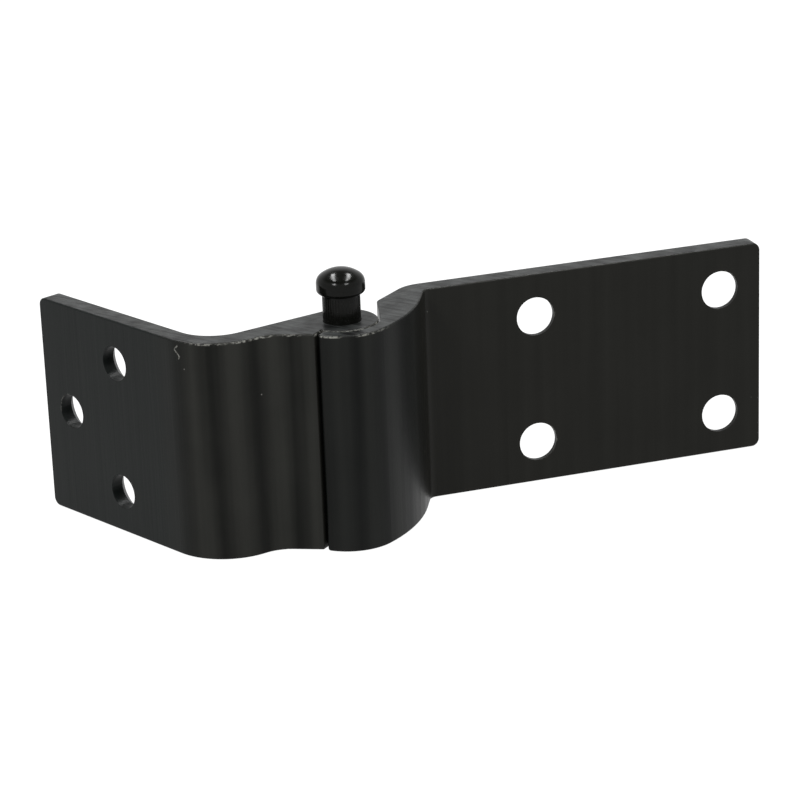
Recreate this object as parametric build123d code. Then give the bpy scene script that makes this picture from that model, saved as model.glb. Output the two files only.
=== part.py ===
from build123d import *
import os
from math import acos, atan2, cos, degrees, hypot, pi, radians, sin

# A cranked two-leaf gate hinge with a pull-out pin.
# Millimetres and degrees. The origin is on the pin's axis at the lower edge of the leaves, and +Z is up
# along the pin. The door leaf's plate runs along +X with its outer face towards -Y.

# Leaves
LEAF_HEIGHT = 60.0
PLATE = 6.0
EDGE_ROUND = 0.5
CORNER_ROUND = 2.2

# Knuckles and pin
PIN_RADIUS = 5.0
PIN_CLEARANCE = 0.1
KNUCKLE_RADIUS = 9.5
FRAME_KNUCKLE_HEIGHT = 15.0
BORE_FLOOR = 3.5
HEAD_RADIUS = 6.45
HEAD_BOTTOM = LEAF_HEIGHT + 7.2
HEAD_RIM_BOTTOM = LEAF_HEIGHT + 7.9
HEAD_RIM_TOP = LEAF_HEIGHT + 10.05
HEAD_TOP = LEAF_HEIGHT + 14.15
HEAD_ROUND = 1.1
TIP_CHAMFER = 1.5
KNURL_GROOVES = 40
KNURL_DEPTH = 0.1
KNURL_RADIUS = 0.3

# Flanged bushes in the door leaf's knuckle
BUSH_WALL = 1.0
BUSH_LENGTH = 12.0
FLANGE_RADIUS = 8.5
FLANGE_THICKNESS = 1.0
END_CLEARANCE = 0.15

# Door leaf: the claw is concentric with the pin, and the hub runs from it to the plate.
CLAW_INNER_RADIUS = 9.85
CLAW_OUTER_RADIUS = 13.5
SEAM_ANGLE = -138.5
SEAM_GAP = 0.9
CLAW_TIP_ROUND = 1.0
CLAW_OUTER_END_ANGLE = -56.0
CLAW_INNER_END_ANGLE = -15.0
BRIDGE_INSET = 8.0
BRIDGE_DEPTH = 0.5
HUB_OUTER_RADIUS = 50.0
HUB_OUTER_TURN = 30.0
HUB_CORNER_ROUND = 3.0
HUB_BACK_ANGLE = 41.0
HUB_BACK_RADIUS = 10.0
HUB_BACK_END_X = 28.0
HUB_NOSE_ROUND = 2.0
DOOR_FRONT_Y = 15.05
DOOR_END_X = 126.3
DOOR_HOLE_X = (59.5, 114.1)
DOOR_HOLE_Z = (11.6, 47.9)
DOOR_HOLE_RADIUS = 5.4
DOOR_HOLE_LAND = 1.4

# Frame leaf: a flat plate, one large bend, a shallow reverse bend and the shoulder beside the seam.
FRAME_ANGLE = 115.2
FRAME_FLAT = 54.2
BEND_CENTRE = (-30.45, 11.5)
BEND_OUTER_RADIUS = 17.0
BEND_INNER_RADIUS = 11.0
BEND_INNER_SHIFT = 1.0
CREST_RADIUS = 10.0
CREST_TOP_Y = -4.1
SHOULDER_ANGLE = -25.5
FRAME_HOLES = ((31.1, 11.6), (31.1, 47.9), (11.1, 29.7))
FRAME_HOLE_RADIUS = 4.75
FRAME_HOLE_LAND = 3.6
MIDDLE_CUT_RADIUS = 10.3
MIDDLE_CUT_FACE = 7.5


def polar(centre, radius, angle):
    """The point at an angle in degrees and a distance from a centre."""
    return (centre[0] + radius * cos(radians(angle)), centre[1] + radius * sin(radians(angle)))


def arc(centre, radius, start, end):
    """An arc in plan about a centre, from one angle to another."""
    middle = (start + end) / 2
    points = [polar(centre, radius, angle) for angle in (start, middle, end)]
    return ThreePointArc(*points)


def line_meet(point_a, angle_a, point_b, angle_b):
    """Where two lines meet, each given by a point and its direction in degrees."""
    direction_a = (cos(radians(angle_a)), sin(radians(angle_a)))
    direction_b = (cos(radians(angle_b)), sin(radians(angle_b)))
    gap = (point_b[0] - point_a[0], point_b[1] - point_a[1])
    cross = direction_a[0] * direction_b[1] - direction_a[1] * direction_b[0]
    along = (gap[0] * direction_b[1] - gap[1] * direction_b[0]) / cross
    return (point_a[0] + along * direction_a[0], point_a[1] + along * direction_a[1])


def seam_face(side):
    """A point and the direction of one face of the seam; side is +1 for the claw and -1 for the shoulder."""
    return polar((0, 0), side * SEAM_GAP / 2, SEAM_ANGLE + 90), SEAM_ANGLE


def seam_angle_at(radius, side):
    """The angle at which a seam face crosses a circle about the pin."""
    return SEAM_ANGLE + side * degrees(SEAM_GAP / 2 / radius)


def upright_edges(shape, point, tolerance=0.3):
    """The vertical edges that stand at a point of the plan."""
    wanted = []
    for edge in shape.edges().filter_by(Axis.Z):
        if hypot(edge.center().X - point[0], edge.center().Y - point[1]) < tolerance:
            wanted.append(edge)
    return wanted


def round_plate_end(leaf, end_point, along):
    """Round the plate's two outer corners, seen square to the plate."""
    corners = []
    for edge in leaf.edges():
        middle = edge.center()
        reach = (middle.X - end_point[0]) * cos(radians(along)) + (middle.Y - end_point[1]) * sin(radians(along))
        at_rim = min(abs(middle.Z), abs(middle.Z - LEAF_HEIGHT)) < 0.01
        if at_rim and abs(reach) < 0.01 and edge.length < PLATE + 0.01:
            corners.append(edge)
    return fillet(corners, CORNER_ROUND)


def round_rims(leaf):
    """Round the upper and lower edges of a leaf, with the upright edges at the plate's end that join them."""
    by_height = leaf.faces().sort_by(Axis.Z)
    return fillet(by_height[0].edges() + by_height[-1].edges(), EDGE_ROUND)


def plate_hole(face_point, height, inward_angle, radius, land):
    """A drill for a screw hole from a plate's outer face, opening at 45 degrees behind a straight land."""
    wide = radius + PLATE + 1 - land
    profile = [(0, -1), (radius, -1), (radius, land), (wide, PLATE + 1), (0, PLATE + 1)]
    drill = revolve(Plane.XZ * make_face(Polyline(*profile, close=True)), Axis.Z)
    inward = (cos(radians(inward_angle)), sin(radians(inward_angle)), 0)
    return Plane(origin=(face_point[0], face_point[1], height), z_dir=inward) * drill


def pillar(radius, bottom, top):
    """A cylinder about the pin's axis between two heights."""
    return Pos(0, 0, bottom) * Cylinder(radius, top - bottom, align=(Align.CENTER, Align.CENTER, Align.MIN))


# Frame leaf plan, worked out from the bend.
plate_normal = FRAME_ANGLE + 90
bend_inner_centre = polar(BEND_CENTRE, BEND_INNER_SHIFT, FRAME_ANGLE)
front_bend_start = polar(BEND_CENTRE, BEND_OUTER_RADIUS, plate_normal)
back_bend_start = polar(bend_inner_centre, BEND_INNER_RADIUS, plate_normal)
frame_end_front = polar(front_bend_start, FRAME_FLAT, FRAME_ANGLE)
frame_end_back = polar(frame_end_front, PLATE, plate_normal + 180)
crest_span = BEND_OUTER_RADIUS + CREST_RADIUS
crest_drop = BEND_CENTRE[1] - (CREST_TOP_Y - CREST_RADIUS)
crest_centre = (BEND_CENTRE[0] + (crest_span**2 - crest_drop**2) ** 0.5, CREST_TOP_Y - CREST_RADIUS)
to_crest = degrees(atan2(crest_centre[1] - BEND_CENTRE[1], crest_centre[0] - BEND_CENTRE[0]))
crest_end = polar(crest_centre, CREST_RADIUS, SHOULDER_ANGLE + 90)
shoulder_point, seam_direction = seam_face(-1)
shoulder_corner = line_meet(crest_end, SHOULDER_ANGLE, shoulder_point, seam_direction)
shoulder_root = polar((0, 0), KNUCKLE_RADIUS - 1, seam_angle_at(KNUCKLE_RADIUS - 1, -1))
centre_distance = hypot(*bend_inner_centre)
centre_angle = degrees(atan2(bend_inner_centre[1], bend_inner_centre[0]))
web_offset = degrees(acos((KNUCKLE_RADIUS + BEND_INNER_RADIUS) / centre_distance))
web_angle = centre_angle - 90 - web_offset
web_on_knuckle = polar((0, 0), KNUCKLE_RADIUS, web_angle + 90)
web_on_bend = polar(bend_inner_centre, BEND_INNER_RADIUS, web_angle - 90)


def make_frame_leaf():
    outline = [
        Line(frame_end_front, front_bend_start),
        arc(BEND_CENTRE, BEND_OUTER_RADIUS, plate_normal, to_crest + 360),
        arc(crest_centre, CREST_RADIUS, to_crest + 180, SHOULDER_ANGLE + 90),
        Line(crest_end, shoulder_corner),
        Line(shoulder_corner, shoulder_root),
        Line(shoulder_root, (0, 0)),
        Line((0, 0), web_on_knuckle),
        Line(web_on_knuckle, web_on_bend),
        arc(bend_inner_centre, BEND_INNER_RADIUS, web_angle + 270, plate_normal),
        Line(back_bend_start, frame_end_back),
        Line(frame_end_back, frame_end_front),
    ]
    plan = make_face(Wire(outline)) + Circle(KNUCKLE_RADIUS)
    leaf = extrude(plan, LEAF_HEIGHT)
    leaf = fillet(upright_edges(leaf, shoulder_corner), EDGE_ROUND)
    leaf = round_plate_end(leaf, frame_end_front, FRAME_ANGLE)
    leaf = round_rims(leaf)
    for from_end, height in FRAME_HOLES:
        face_point = polar(frame_end_front, -from_end, FRAME_ANGLE)
        leaf -= plate_hole(face_point, height, plate_normal + 180, FRAME_HOLE_RADIUS, FRAME_HOLE_LAND)
    middle_height = LEAF_HEIGHT - 2 * FRAME_KNUCKLE_HEIGHT
    reach = 2 * MIDDLE_CUT_RADIUS
    relief = Pos(reach / 2 - MIDDLE_CUT_FACE, 0, LEAF_HEIGHT / 2) * Box(reach, reach, middle_height)
    leaf -= Rot(0, 0, web_angle) * relief
    leaf -= pillar(MIDDLE_CUT_RADIUS, FRAME_KNUCKLE_HEIGHT, LEAF_HEIGHT - FRAME_KNUCKLE_HEIGHT)
    leaf -= pillar(PIN_RADIUS + PIN_CLEARANCE, BORE_FLOOR, LEAF_HEIGHT)
    return leaf


# Door leaf plan, from the claw's tip round the front to the plate's end, and back along the hub.
claw_outer_end = polar((0, 0), CLAW_OUTER_RADIUS, CLAW_OUTER_END_ANGLE)
hub_centre = polar(claw_outer_end, HUB_OUTER_RADIUS, CLAW_OUTER_END_ANGLE + 180)
hub_front_end = polar(hub_centre, HUB_OUTER_RADIUS, CLAW_OUTER_END_ANGLE + HUB_OUTER_TURN)
hub_front_angle = CLAW_OUTER_END_ANGLE + HUB_OUTER_TURN + 90
hub_corner = line_meet(hub_front_end, hub_front_angle, (0, DOOR_FRONT_Y), 0)
door_back_y = DOOR_FRONT_Y + PLATE
hub_back_centre = (HUB_BACK_END_X, door_back_y - HUB_BACK_RADIUS)
hub_back_start = polar(hub_back_centre, HUB_BACK_RADIUS, HUB_BACK_ANGLE + 90)
claw_inner_end = polar((0, 0), CLAW_INNER_RADIUS, CLAW_INNER_END_ANGLE)
hub_nose = line_meet(hub_back_start, HUB_BACK_ANGLE, claw_inner_end, CLAW_INNER_END_ANGLE + 90)
tip_inner_angle = seam_angle_at(CLAW_INNER_RADIUS, 1)
tip_outer_angle = seam_angle_at(CLAW_OUTER_RADIUS, 1)
tip_inner = polar((0, 0), CLAW_INNER_RADIUS, tip_inner_angle)
tip_outer = polar((0, 0), CLAW_OUTER_RADIUS, tip_outer_angle)
flange_gap = FLANGE_THICKNESS + 2 * END_CLEARANCE
door_knuckle_bottom = FRAME_KNUCKLE_HEIGHT + flange_gap
door_knuckle_top = LEAF_HEIGHT - door_knuckle_bottom


def make_door_leaf():
    outline = [
        Line(tip_inner, tip_outer),
        arc((0, 0), CLAW_OUTER_RADIUS, tip_outer_angle, CLAW_OUTER_END_ANGLE),
        arc(hub_centre, HUB_OUTER_RADIUS, CLAW_OUTER_END_ANGLE, CLAW_OUTER_END_ANGLE + HUB_OUTER_TURN),
        Line(hub_front_end, hub_corner),
        Line(hub_corner, (DOOR_END_X, DOOR_FRONT_Y)),
        Line((DOOR_END_X, DOOR_FRONT_Y), (DOOR_END_X, door_back_y)),
        Line((DOOR_END_X, door_back_y), (HUB_BACK_END_X, door_back_y)),
        arc(hub_back_centre, HUB_BACK_RADIUS, 90, HUB_BACK_ANGLE + 90),
        Line(hub_back_start, hub_nose),
        Line(hub_nose, claw_inner_end),
        arc((0, 0), CLAW_INNER_RADIUS, CLAW_INNER_END_ANGLE, tip_inner_angle),
    ]
    leaf = extrude(make_face(Wire(outline)), LEAF_HEIGHT)
    leaf = fillet(upright_edges(leaf, hub_corner), HUB_CORNER_ROUND)
    leaf = fillet(upright_edges(leaf, hub_nose), HUB_NOSE_ROUND)
    leaf = fillet(upright_edges(leaf, tip_outer), CLAW_TIP_ROUND)
    leaf = round_plate_end(leaf, (DOOR_END_X, DOOR_FRONT_Y), 0)
    leaf = round_rims(leaf)
    for x in DOOR_HOLE_X:
        for z in DOOR_HOLE_Z:
            leaf -= plate_hole((x, DOOR_FRONT_Y), z, 90, DOOR_HOLE_RADIUS, DOOR_HOLE_LAND)
    far = 2 * CLAW_INNER_RADIUS
    first, last = tip_inner_angle + BRIDGE_INSET, CLAW_INNER_END_ANGLE - BRIDGE_INSET
    fan = [(0, 0)] + [polar((0, 0), far, angle) for angle in (first, (first + last) / 2, last)]
    bridge = Circle(CLAW_INNER_RADIUS + BRIDGE_DEPTH) & make_face(Polyline(*fan, close=True))
    knuckle = extrude(Circle(KNUCKLE_RADIUS) + bridge, door_knuckle_top - door_knuckle_bottom)
    leaf += Pos(0, 0, door_knuckle_bottom) * knuckle
    leaf -= pillar(PIN_RADIUS + PIN_CLEARANCE + BUSH_WALL, door_knuckle_bottom - 1, door_knuckle_top + 1)
    return leaf


def make_hinge_pin():
    tip = BORE_FLOOR + END_CLEARANCE
    shank = [(0, HEAD_TOP), (0, tip), (PIN_RADIUS - TIP_CHAMFER, tip), (PIN_RADIUS, tip + TIP_CHAMFER)]
    head = [(PIN_RADIUS, HEAD_BOTTOM), (HEAD_RADIUS, HEAD_RIM_BOTTOM), (HEAD_RADIUS, HEAD_RIM_TOP)]
    haunch = (HEAD_RADIUS * cos(pi / 4), HEAD_RIM_TOP + (HEAD_TOP - HEAD_RIM_TOP) * sin(pi / 4))
    dome = Spline(head[-1], haunch, shank[0], tangents=[(0, 1), (-1, 0)])
    pin = revolve(Plane.XZ * make_face(Polyline(*shank, *head) + dome), Axis.Z)
    lower_rims = []
    for edge in pin.edges():
        if abs(edge.center().Z - HEAD_RIM_BOTTOM) < 0.01 and edge.length > 2 * pi * PIN_RADIUS:
            lower_rims.append(edge)
    pin = fillet(lower_rims, HEAD_ROUND)
    groove_height = HEAD_BOTTOM - LEAF_HEIGHT - 1.2
    groove = Pos(PIN_RADIUS + KNURL_RADIUS - KNURL_DEPTH, 0, LEAF_HEIGHT + 0.8)
    groove = groove * Cylinder(KNURL_RADIUS, groove_height, align=(Align.CENTER, Align.CENTER, Align.MIN))
    for index in range(KNURL_GROOVES):
        pin -= Rot(0, 0, index * 360 / KNURL_GROOVES) * groove
    return pin


def make_bush():
    """A flanged bush whose flange rests on z = 0 and whose sleeve runs down."""
    sleeve_radius = PIN_RADIUS + PIN_CLEARANCE + BUSH_WALL
    bush = pillar(FLANGE_RADIUS, 0, FLANGE_THICKNESS) + pillar(sleeve_radius, -BUSH_LENGTH, 0)
    return bush - pillar(PIN_RADIUS + PIN_CLEARANCE, -BUSH_LENGTH - 1, FLANGE_THICKNESS + 1)


os.makedirs("parts", exist_ok=True)
upper_bush = Pos(0, 0, door_knuckle_top) * make_bush()
lower_bush = Pos(0, 0, door_knuckle_bottom) * Rot(180, 0, 0) * make_bush()
export_step(make_frame_leaf(), "parts/frame_leaf.step")
export_step(make_door_leaf(), "parts/door_leaf.step")
export_step(make_hinge_pin(), "parts/hinge_pin.step")
export_step(upper_bush, "parts/upper_bush.step")
export_step(lower_bush, "parts/lower_bush.step")
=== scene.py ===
from math import cos, pi, radians, sin

import bpy
from mathutils import Matrix, Vector


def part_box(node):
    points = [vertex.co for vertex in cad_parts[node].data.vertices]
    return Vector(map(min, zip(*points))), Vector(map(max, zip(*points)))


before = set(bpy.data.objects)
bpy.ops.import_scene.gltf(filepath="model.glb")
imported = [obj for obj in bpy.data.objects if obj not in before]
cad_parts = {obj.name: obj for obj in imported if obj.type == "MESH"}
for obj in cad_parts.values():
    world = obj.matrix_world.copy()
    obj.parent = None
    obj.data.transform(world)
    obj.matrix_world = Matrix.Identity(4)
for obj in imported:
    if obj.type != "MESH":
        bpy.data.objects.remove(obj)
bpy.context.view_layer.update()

MM = 0.001

# Camera: on the door leaf's side of the hinge, a little above it, with a long lens.
CAMERA_AT = Vector((-0.2255, -0.7393, 0.3164))
CAMERA_HEADING = radians(18.02)
CAMERA_TILT = radians(19.87)
CAMERA_ROLL = radians(-2.203)
CAMERA_LENS = 140.6
SENSOR = 36.0

# Studio, in metres and watts. The wall fades to the ceiling between two sines of elevation.
FLOOR_HALF = 2.5
FLOOR_DROP = 0.4 * MM
WALL_GLOW = 1.05
CEILING_GLOW = 0.10
WALL_UP_TO = 0.45
CEILING_FROM = 0.80
LIGHT_TARGET = Vector((0.02, 0, 0.03))
LIGHT_DISTANCE = 1.1
STRIP_SIZE = (0.85, 0.14)
STRIP_POWER = 14
LAMP_SIZE = (0.3, 0.2)
LAMP_POWERS = (8, 6)

# Colours of worn places, of the painted shine on the bush's edges, and of the sawn edges, whose lighter tone
# is partly painted light.
BRIGHT_STEEL = (0.42, 0.42, 0.38, 1)
WORN_PIN = (0.40, 0.40, 0.37, 1)
PAINTED_POLYMER_SHINE = (0.06, 0.06, 0.065, 1)
SAWN_TONES_WITH_PAINTED_LIGHT = ((0.002, 0.0022, 0.0022, 1), (0.018, 0.0192, 0.0188, 1))

LEAF_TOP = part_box("door_leaf")[1].z


# ---------------------------------------------------------------- camera, light and stage

def make_camera():
    forward = Vector((sin(CAMERA_HEADING) * cos(CAMERA_TILT), cos(CAMERA_HEADING) * cos(CAMERA_TILT),
                      -sin(CAMERA_TILT)))
    level = Vector((cos(CAMERA_HEADING), -sin(CAMERA_HEADING), 0))
    upright = level.cross(forward)
    right = level * cos(CAMERA_ROLL) + upright * sin(CAMERA_ROLL)
    up = upright * cos(CAMERA_ROLL) - level * sin(CAMERA_ROLL)
    data = bpy.data.cameras.new("camera")
    data.lens = CAMERA_LENS
    data.sensor_width = SENSOR
    data.clip_start = 0.01
    camera = bpy.data.objects.new("camera", data)
    axes = Matrix((right, up, -forward)).transposed().to_4x4()
    camera.matrix_world = Matrix.Translation(CAMERA_AT) @ axes
    bpy.context.scene.collection.objects.link(camera)
    bpy.context.scene.camera = camera


def make_light(name, outward, size, power, long_axis):
    """A soft box out from the hinge in a given direction, facing it, with its long side along an axis."""
    data = bpy.data.lights.new(name, "AREA")
    data.shape = "RECTANGLE"
    data.size, data.size_y = size
    data.energy = power
    light = bpy.data.objects.new(name, data)
    outward = outward.normalized()
    across = outward.cross(long_axis).normalized()
    along = across.cross(outward)
    axes = Matrix((along, outward.cross(along), outward)).transposed().to_4x4()
    light.matrix_world = Matrix.Translation(LIGHT_TARGET + outward * LIGHT_DISTANCE) @ axes
    bpy.context.scene.collection.objects.link(light)


def make_lights():
    """Two long strips overhead, in line with the view, and two small lamps nearer the camera."""
    toward_camera = Vector((-sin(CAMERA_HEADING), -cos(CAMERA_HEADING), 0))
    rightward = Vector((cos(CAMERA_HEADING), -sin(CAMERA_HEADING), 0))
    overhead = Vector((0, 0, 0.93)) - 0.18 * toward_camera
    in_front = Vector((0, 0, 0.61)) + 0.66 * toward_camera
    make_light("overhead_left", overhead - 0.31 * rightward, STRIP_SIZE, STRIP_POWER, toward_camera)
    make_light("overhead_right", overhead + 0.31 * rightward, STRIP_SIZE, STRIP_POWER, toward_camera)
    make_light("front_left", in_front - 0.44 * rightward, LAMP_SIZE, LAMP_POWERS[0], toward_camera)
    make_light("front_right", in_front + 0.41 * rightward, LAMP_SIZE, LAMP_POWERS[1], toward_camera)


def make_floor():
    """A paper floor that glows as white as the wall, so that hardly any shadow shows."""
    mesh = bpy.data.meshes.new("floor")
    corners = [(x * FLOOR_HALF, y * FLOOR_HALF, 0) for x, y in ((-1, -1), (1, -1), (1, 1), (-1, 1))]
    mesh.from_pydata(corners, [], [(0, 1, 2, 3)])
    floor = bpy.data.objects.new("floor", mesh)
    floor.location.z = -FLOOR_DROP
    bpy.context.scene.collection.objects.link(floor)
    material = bpy.data.materials.new("lit_paper")
    material.use_nodes = True
    shader = material.node_tree.nodes["Principled BSDF"]
    shader.inputs["Base Color"].default_value = (0.06, 0.06, 0.06, 1)
    shader.inputs["Roughness"].default_value = 0.9
    shader.inputs["Specular IOR Level"].default_value = 0.0
    shader.inputs["Emission Color"].default_value = (1, 1, 1, 1)
    shader.inputs["Emission Strength"].default_value = 1.0
    mesh.materials.append(material)


def make_world():
    """A pale wall all round and a darker ceiling."""
    world = bpy.data.worlds.new("studio")
    world.use_nodes = True
    nodes, links = world.node_tree.nodes, world.node_tree.links
    direction = nodes.new("ShaderNodeTexCoord")
    split = nodes.new("ShaderNodeSeparateXYZ")
    fade = nodes.new("ShaderNodeMapRange")
    fade.interpolation_type = "SMOOTHSTEP"
    fade.inputs["From Min"].default_value = WALL_UP_TO
    fade.inputs["From Max"].default_value = CEILING_FROM
    fade.inputs["To Min"].default_value = WALL_GLOW
    fade.inputs["To Max"].default_value = CEILING_GLOW
    links.new(direction.outputs["Generated"], split.inputs["Vector"])
    links.new(split.outputs["Z"], fade.inputs["Value"])
    nodes["Background"].inputs["Color"].default_value = (1, 1, 1, 1)
    links.new(fade.outputs["Result"], nodes["Background"].inputs["Strength"])
    bpy.context.scene.world = world


# ---------------------------------------------------------------- material helpers

class Tree:
    """Adds and links the nodes of one material."""

    def __init__(self, name):
        self.material = bpy.data.materials.new(name)
        self.material.use_nodes = True
        self.nodes = self.material.node_tree.nodes
        self.links = self.material.node_tree.links
        self.shader = self.nodes["Principled BSDF"]
        self.place = self.add("ShaderNodeTexCoord").outputs["Object"]
        place_split = self.add("ShaderNodeSeparateXYZ", Vector=self.place)
        self.x = place_split.outputs["X"]
        self.y = place_split.outputs["Y"]
        self.z = place_split.outputs["Z"]
        self.geometry = self.add("ShaderNodeNewGeometry")
        facing = self.add("ShaderNodeSeparateXYZ", Vector=self.geometry.outputs["Normal"])
        self.facing_up = facing.outputs["Z"]

    def add(self, kind, **sockets):
        """A new node with some inputs set or linked; an underscore stands for a space in an input's name."""
        made = self.nodes.new(kind)
        for name, value in sockets.items():
            self.feed(made.inputs[name.replace("_", " ")], value)
        return made

    def feed(self, socket, value):
        """Link another node's output to an input, or set the input to a constant."""
        if isinstance(value, bpy.types.NodeSocket):
            self.links.new(value, socket)
        else:
            socket.default_value = value

    def stretch(self, scale, turn=0.0):
        """Places turned about +Z and then scaled, for noise that runs in one direction."""
        turned = self.add("ShaderNodeMapping", Vector=self.place, Rotation=(0, 0, turn))
        return self.add("ShaderNodeMapping", Vector=turned.outputs["Vector"], Scale=scale).outputs["Vector"]

    def noise(self, vector, scale, detail=2.0, roughness=0.5):
        made = self.add("ShaderNodeTexNoise", Vector=vector, Scale=scale, Detail=detail, Roughness=roughness)
        return made.outputs["Fac"]

    def remap(self, value, low, high, to_low=0.0, to_high=1.0):
        made = self.nodes.new("ShaderNodeMapRange")
        self.feed(made.inputs["Value"], value)
        for name, number in (("From Min", low), ("From Max", high), ("To Min", to_low), ("To Max", to_high)):
            made.inputs[name].default_value = number
        return made.outputs["Result"]

    def math(self, operation, first, second=0.0):
        made = self.nodes.new("ShaderNodeMath")
        made.operation = operation
        self.feed(made.inputs[0], first)
        self.feed(made.inputs[1], second)
        return made.outputs["Value"]

    def product(self, first, *others):
        total = first
        for other in others:
            total = self.math("MULTIPLY", total, other)
        return total

    def between(self, value, low, high, soft):
        """1 between two values and 0 outside them, with soft ends."""
        rise = self.remap(value, low - soft, low + soft)
        fall = self.remap(value, high - soft, high + soft, 1.0, 0.0)
        return self.math("MULTIPLY", rise, fall)

    def mix(self, share, first, second):
        """A blend of two colours; the node's colour sockets can only be told apart by their numbers."""
        made = self.nodes.new("ShaderNodeMix")
        made.data_type = "RGBA"
        self.feed(made.inputs["Factor"], share)
        self.feed(made.inputs[6], first)
        self.feed(made.inputs[7], second)
        return made.outputs[2]

    def bump(self, height, distance, strength=1.0, normal=None):
        made = self.add("ShaderNodeBump", Height=height, Distance=distance, Strength=strength)
        if normal is not None:
            self.links.new(normal, made.inputs["Normal"])
        return made.outputs["Normal"]

    def edge_mask(self, radius):
        """1 on sharp or tightly rounded edges and 0 on flats."""
        bevel = self.add("ShaderNodeBevel", Radius=radius)
        bevel.samples = 8
        agreement = self.nodes.new("ShaderNodeVectorMath")
        agreement.operation = "DOT_PRODUCT"
        self.links.new(bevel.outputs["Normal"], agreement.inputs[0])
        self.links.new(self.geometry.outputs["Normal"], agreement.inputs[1])
        return self.remap(agreement.outputs["Value"], 0.99, 0.90)

    def specks(self, cells_per_metre, radius, share):
        """Small scattered dots: a share of the cells holds one each."""
        cells = self.add("ShaderNodeTexVoronoi", Vector=self.place, Scale=cells_per_metre)
        dot = self.remap(cells.outputs["Distance"], radius, 0.6 * radius)
        chosen = self.add("ShaderNodeSeparateXYZ", Vector=cells.outputs["Color"]).outputs["X"]
        return self.math("MULTIPLY", dot, self.math("GREATER_THAN", chosen, 1.0 - share))


# ---------------------------------------------------------------- materials

def leaf_coating(name, bend_tones_with_painted_shade, plate_tones_with_painted_shade, bend_span, band_period, band_start, chipped_span, scratch=None):
    """Black coated steel: painted reflection bands and painted shade in the bends, sawn top edges, chips at
    the rims and dust.
    """
    tree = Tree(name)
    fine = tree.noise(tree.place, 1100.0, 3.0, 0.6)
    cloud = tree.noise(tree.place, 55.0, 4.0, 0.6)
    clump = tree.noise(tree.place, 170.0, 2.0, 0.5)
    streak = tree.noise(tree.stretch((420.0, 420.0, 9.0)), 1.0, 3.0, 0.55)
    drift = tree.noise(tree.stretch((70.0, 70.0, 8.0)), 1.0, 1.0, 0.4)

    # Painted reflection bands run along the pin and are strongest in the bends; the streaks and clouds added
    # to them are the coating's own uneven tone.
    turns = tree.math("DIVIDE", tree.math("SUBTRACT", tree.x, band_start), band_period)
    phase = tree.math("ADD", tree.math("MULTIPLY", turns, 2 * pi), tree.remap(drift, 0.3, 0.7, -1.0, 1.0))
    in_bend = tree.between(tree.x, *bend_span, 3 * MM)
    painted_reflection_bands = tree.math("MULTIPLY", tree.math("COSINE", phase), tree.remap(in_bend, 0.0, 1.0, 0.05, 0.40))
    shade = tree.math("ADD", painted_reflection_bands, tree.remap(streak, 0.3, 0.7, 0.34, 0.66))
    shade = tree.math("ADD", shade, tree.remap(cloud, 0.3, 0.7, -0.12, 0.12))
    # Painted shade: the bends and the flat plates of the one coating get different tone pairs.
    tone = tree.mix(in_bend, tree.mix(shade, *plate_tones_with_painted_shade), tree.mix(shade, *bend_tones_with_painted_shade))

    # The upper and lower edges are saw cuts under a thinner coating; the saw marks are real, and their
    # lighter tone is partly painted light on the tops.
    on_top = tree.remap(tree.math("ABSOLUTE", tree.facing_up), 0.90, 0.98)
    saw = tree.noise(tree.stretch((900.0, 60.0, 1.0), radians(-38)), 1.0, 3.0, 0.6)
    saw_shade = tree.math("ADD", tree.remap(saw, 0.35, 0.65), tree.remap(clump, 0.35, 0.65, -0.35, 0.35))
    tone = tree.mix(on_top, tone, tree.mix(saw_shade, *SAWN_TONES_WITH_PAINTED_LIGHT))

    # Chips down to bright steel where the upper rim has been knocked, with faint bright flecks on the other
    # edges that are partly scuffs and partly painted edge highlights.
    edge = tree.edge_mask(0.8 * MM)
    rim = tree.between(tree.z, LEAF_TOP - 0.62 * MM, LEAF_TOP - 0.16 * MM, 0.10 * MM)
    rim = tree.math("MULTIPLY", rim, tree.remap(tree.facing_up, 0.98, 0.90))
    knocked = tree.between(tree.x, *chipped_span, 2 * MM)
    chips = tree.product(rim, knocked, tree.remap(clump, 0.40, 0.52), tree.remap(fine, 0.44, 0.58), 0.26)
    scuffs_and_edge_highlights = tree.product(edge, tree.remap(clump, 0.52, 0.60), tree.remap(fine, 0.50, 0.58), 0.10)
    dust = tree.math("MULTIPLY", tree.specks(210.0, 0.05, 0.06), 0.16)
    marks = tree.math("MAXIMUM", tree.math("MAXIMUM", chips, scuffs_and_edge_highlights), dust)
    if scratch is not None:
        marks = tree.math("MAXIMUM", marks, scratch(tree, fine))
    tree.feed(tree.shader.inputs["Base Color"], tree.mix(marks, tone, BRIGHT_STEEL))

    roughness = tree.remap(streak, 0.3, 0.7, 0.34, 0.44)
    roughness = tree.math("ADD", roughness, tree.math("MULTIPLY", marks, 0.25))
    tree.feed(tree.shader.inputs["Roughness"], roughness)
    tree.shader.inputs["IOR"].default_value = 1.19
    peel = tree.bump(fine, 0.02 * MM, 0.5)
    scored = tree.bump(tree.math("MULTIPLY", saw, on_top), 0.08 * MM, 0.6, peel)
    drawn = tree.bump(streak, 0.20 * MM, 0.35, scored)
    tree.feed(tree.shader.inputs["Normal"], tree.bump(marks, -0.08 * MM, 0.5, drawn))
    return tree.material


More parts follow.
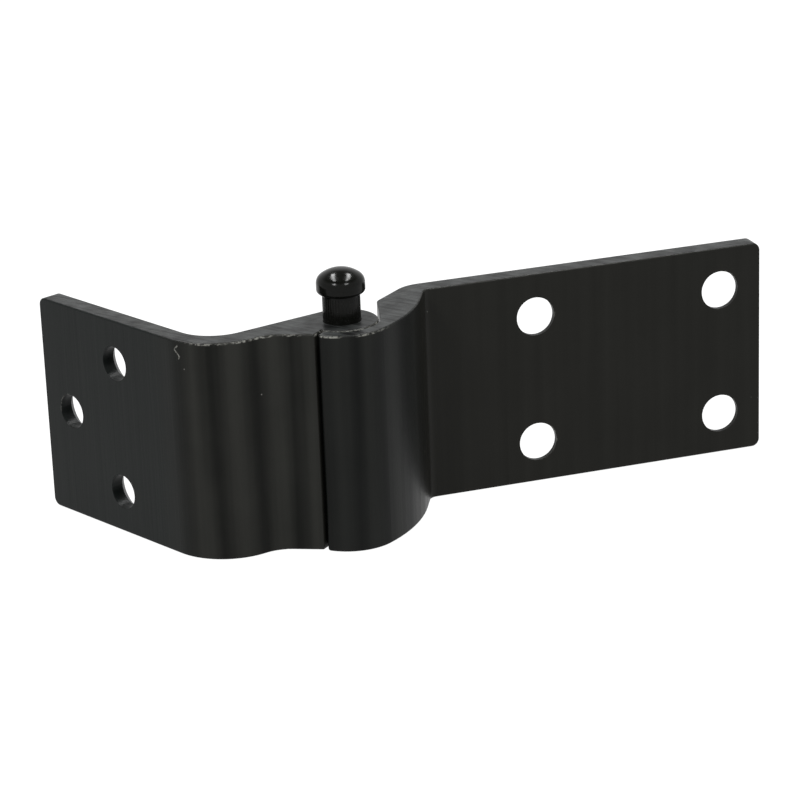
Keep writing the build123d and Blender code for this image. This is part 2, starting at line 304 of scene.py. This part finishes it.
def bend_scratch(tree, fine):
    """One wavering scratch near the top of the frame leaf's large bend, on its outer face."""
    low, high = LEAF_TOP - 5.2 * MM, LEAF_TOP - 1.2 * MM
    waver = tree.math("SINE", tree.remap(tree.z, low, high, 0.0, 2.2 * pi))
    line = tree.math("ADD", tree.math("MULTIPLY", waver, 0.38 * MM), -44.3 * MM)
    line = tree.math("ADD", line, tree.remap(fine, 0.0, 1.0, -0.15 * MM, 0.15 * MM))
    away = tree.math("ABSOLUTE", tree.math("SUBTRACT", tree.x, line))
    stroke = tree.remap(away, 0.22 * MM, 0.06 * MM)
    on_outside = tree.remap(tree.y, 6 * MM, 4 * MM)
    worn = tree.remap(fine, 0.44, 0.56, 0.0, 0.22)
    return tree.product(stroke, on_outside, tree.between(tree.z, low, high, 0.2 * MM), worn)


def pin_coating():
    """Glossy blackened steel with fine turning marks round the pin."""
    tree = Tree("glossy_pin_coating")
    fine = tree.noise(tree.place, 1400.0, 2.0, 0.5)
    turned = tree.noise(tree.stretch((40.0, 40.0, 2600.0)), 1.0, 2.0, 0.5)
    tone = tree.mix(fine, (0.0010, 0.0011, 0.0008, 1), (0.0030, 0.0031, 0.0026, 1))
    worn = tree.product(tree.edge_mask(0.35 * MM), tree.remap(fine, 0.62, 0.70), 0.03)
    dust = tree.math("MULTIPLY", tree.specks(420.0, 0.06, 0.05), 0.10)
    marks = tree.math("MAXIMUM", worn, dust)
    tree.feed(tree.shader.inputs["Base Color"], tree.mix(marks, tone, WORN_PIN))
    tree.feed(tree.shader.inputs["Roughness"], tree.remap(turned, 0.3, 0.7, 0.14, 0.20))
    tree.shader.inputs["IOR"].default_value = 1.20
    shallow = tree.bump(turned, 0.01 * MM, 0.25)
    tree.feed(tree.shader.inputs["Normal"], tree.bump(fine, 0.01 * MM, 0.4, shallow))
    return tree.material


def bush_polymer():
    """Matt dark bearing polymer with fine turning marks and a little painted shine on its edges."""
    tree = Tree("bush_polymer")
    fine = tree.noise(tree.place, 1800.0, 2.0, 0.5)
    turned = tree.noise(tree.stretch((30.0, 30.0, 3000.0)), 1.0, 2.0, 0.5)
    tone = tree.mix(fine, (0.012, 0.012, 0.013, 1), (0.020, 0.020, 0.022, 1))
    # Painted highlight: every edge of the bush is made lighter.
    shine = tree.math("MULTIPLY", tree.edge_mask(0.3 * MM), 0.35)
    tree.feed(tree.shader.inputs["Base Color"], tree.mix(shine, tone, PAINTED_POLYMER_SHINE))
    tree.feed(tree.shader.inputs["Roughness"], tree.remap(turned, 0.3, 0.7, 0.50, 0.65))
    tree.feed(tree.shader.inputs["Normal"], tree.bump(fine, 0.01 * MM, 0.5))
    return tree.material


def dress(node, material):
    """Give one CAD node its material."""
    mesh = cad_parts[node].data
    mesh.materials.clear()
    mesh.materials.append(material)


make_camera()
make_floor()
make_world()
make_lights()
bpy.context.scene.view_settings.view_transform = "Standard"

# The tone pairs below carry painted shade of the bends and the flat plates, and band_period and band_start
# place the painted reflection bands.
frame_coating = leaf_coating(
    "frame_leaf_coating",
    bend_tones_with_painted_shade=((0.0016, 0.0018, 0.0013, 1), (0.0104, 0.0106, 0.0092, 1)),
    plate_tones_with_painted_shade=((0.0018, 0.0026, 0.0024, 1), (0.0044, 0.0056, 0.0052, 1)),
    bend_span=(-46 * MM, 20 * MM), band_period=9.4 * MM, band_start=-40 * MM,
    chipped_span=(-42 * MM, 20 * MM), scratch=bend_scratch)
door_coating = leaf_coating(
    "door_leaf_coating",
    bend_tones_with_painted_shade=((0.0010, 0.0013, 0.0011, 1), (0.0056, 0.0060, 0.0054, 1)),
    plate_tones_with_painted_shade=((0.0034, 0.0034, 0.0026, 1), (0.0072, 0.0072, 0.0060, 1)),
    bend_span=(-20 * MM, 22 * MM), band_period=8.6 * MM, band_start=3 * MM,
    chipped_span=(-14 * MM, 8 * MM))
polymer = bush_polymer()
dress("frame_leaf", frame_coating)
dress("door_leaf", door_coating)
dress("hinge_pin", pin_coating())
dress("upper_bush", polymer)
dress("lower_bush", polymer)
